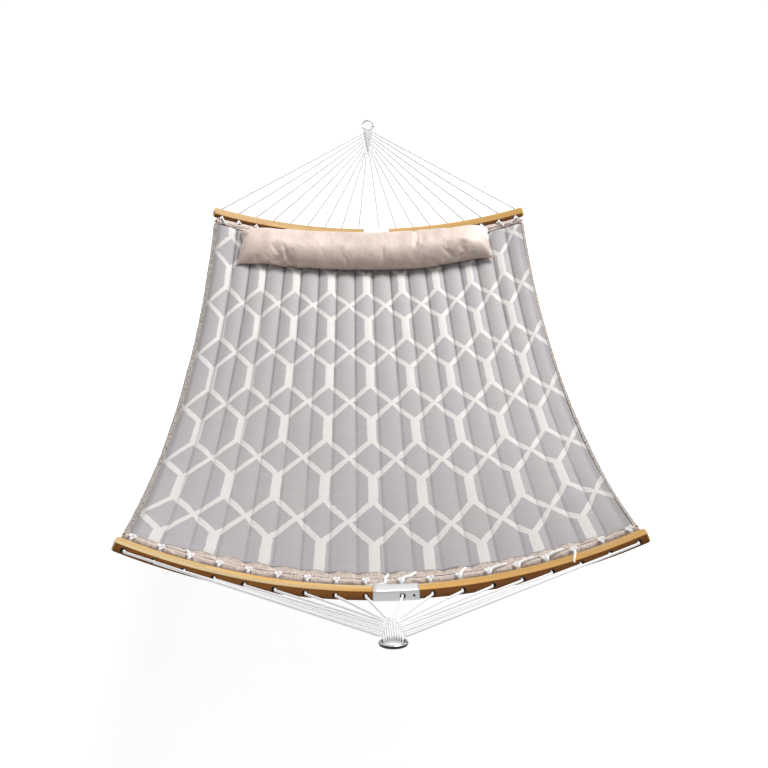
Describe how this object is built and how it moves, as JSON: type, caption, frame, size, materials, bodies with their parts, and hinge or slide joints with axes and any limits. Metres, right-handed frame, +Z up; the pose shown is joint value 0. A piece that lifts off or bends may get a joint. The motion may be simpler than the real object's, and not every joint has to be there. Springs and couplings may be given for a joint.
{
  "type": "quilted hammock",
  "caption": "Quilted hammock: a padded bed sewn in lengthwise channels between bent wooden spreader bars, hung from woven cord clews and steel rings, with a long loose pillow.",
  "frame": {"origin": "Centre of the ring at the head end, which hangs on a hook.", "axes": "+Y runs from the foot to the head, +Z is up, and +X is to the right of someone at the foot who looks at the head."},
  "size_m": [1.4062, 2.9242, 0.4682],
  "materials": {
    "bamboo": "laminated bamboo, clear satin lacquer",
    "sleeve": "extruded aluminium, satin",
    "screw": "blackened steel",
    "rod": "plain birch dowel",
    "hem_cloth": "woven taupe polyester",
    "ring": "polished zinc-plated steel",
    "rope": "soft spun polyester rope, off white",
    "quilt_cloth": "printed polyester, grey ground with a cream trellis",
    "wadding": "polyester wadding",
    "pillow_satin": "taupe satin with a soft sheen"
  },
  "bodies": {
    "hammock": {"head_bar_left": "bamboo", "head_bar_right": "bamboo", "head_bar_sleeve": "sleeve", "head_sleeve_screw": "screw", "head_rod": "rod", "head_hem": "hem_cloth", "head_cord_1": "rope", "head_cord_2": "rope", "head_cord_3": "rope", "head_cord_4": "rope", "head_cord_5": "rope", "head_cord_6": "rope", "head_cord_7": "rope", "head_cord_8": "rope", "head_cord_9": "rope", "foot_bar_left": "bamboo", "foot_bar_right": "bamboo", "foot_bar_sleeve": "sleeve", "foot_sleeve_screw": "screw", "foot_rod": "rod", "foot_hem": "hem_cloth", "foot_cord_1": "rope", "foot_cord_2": "rope", "foot_cord_3": "rope", "foot_cord_4": "rope", "foot_cord_5": "rope", "foot_cord_6": "rope", "foot_cord_7": "rope", "foot_cord_8": "rope", "foot_cord_9": "rope", "quilt_top": "quilt_cloth", "quilt_fill": "wadding", "quilt_bottom": "quilt_cloth", "left_binding": "hem_cloth", "right_binding": "hem_cloth"},
    "head_ring": {"head_ring": "ring"},
    "foot_ring": {"foot_ring": "ring"},
    "pillow": {"pillow": "pillow_satin"}
  },
  "joints": [
    {"name": "head_ring_spin", "type": "hinge", "parent": "hammock", "child": "head_ring", "pos_m": [0, 0, 0], "axis": [0, -0.6014, 0.7989], "continuous": true},
    {"name": "foot_ring_spin", "type": "hinge", "parent": "hammock", "child": "foot_ring", "pos_m": [0, -2.87523, 0], "axis": [0, 0.6014, 0.7989], "continuous": true},
    {"name": "pillow_lift", "type": "slide", "parent": "hammock", "child": "pillow", "axis": [0, 0, 1], "range_m": [0, 0.25]}
  ]
}
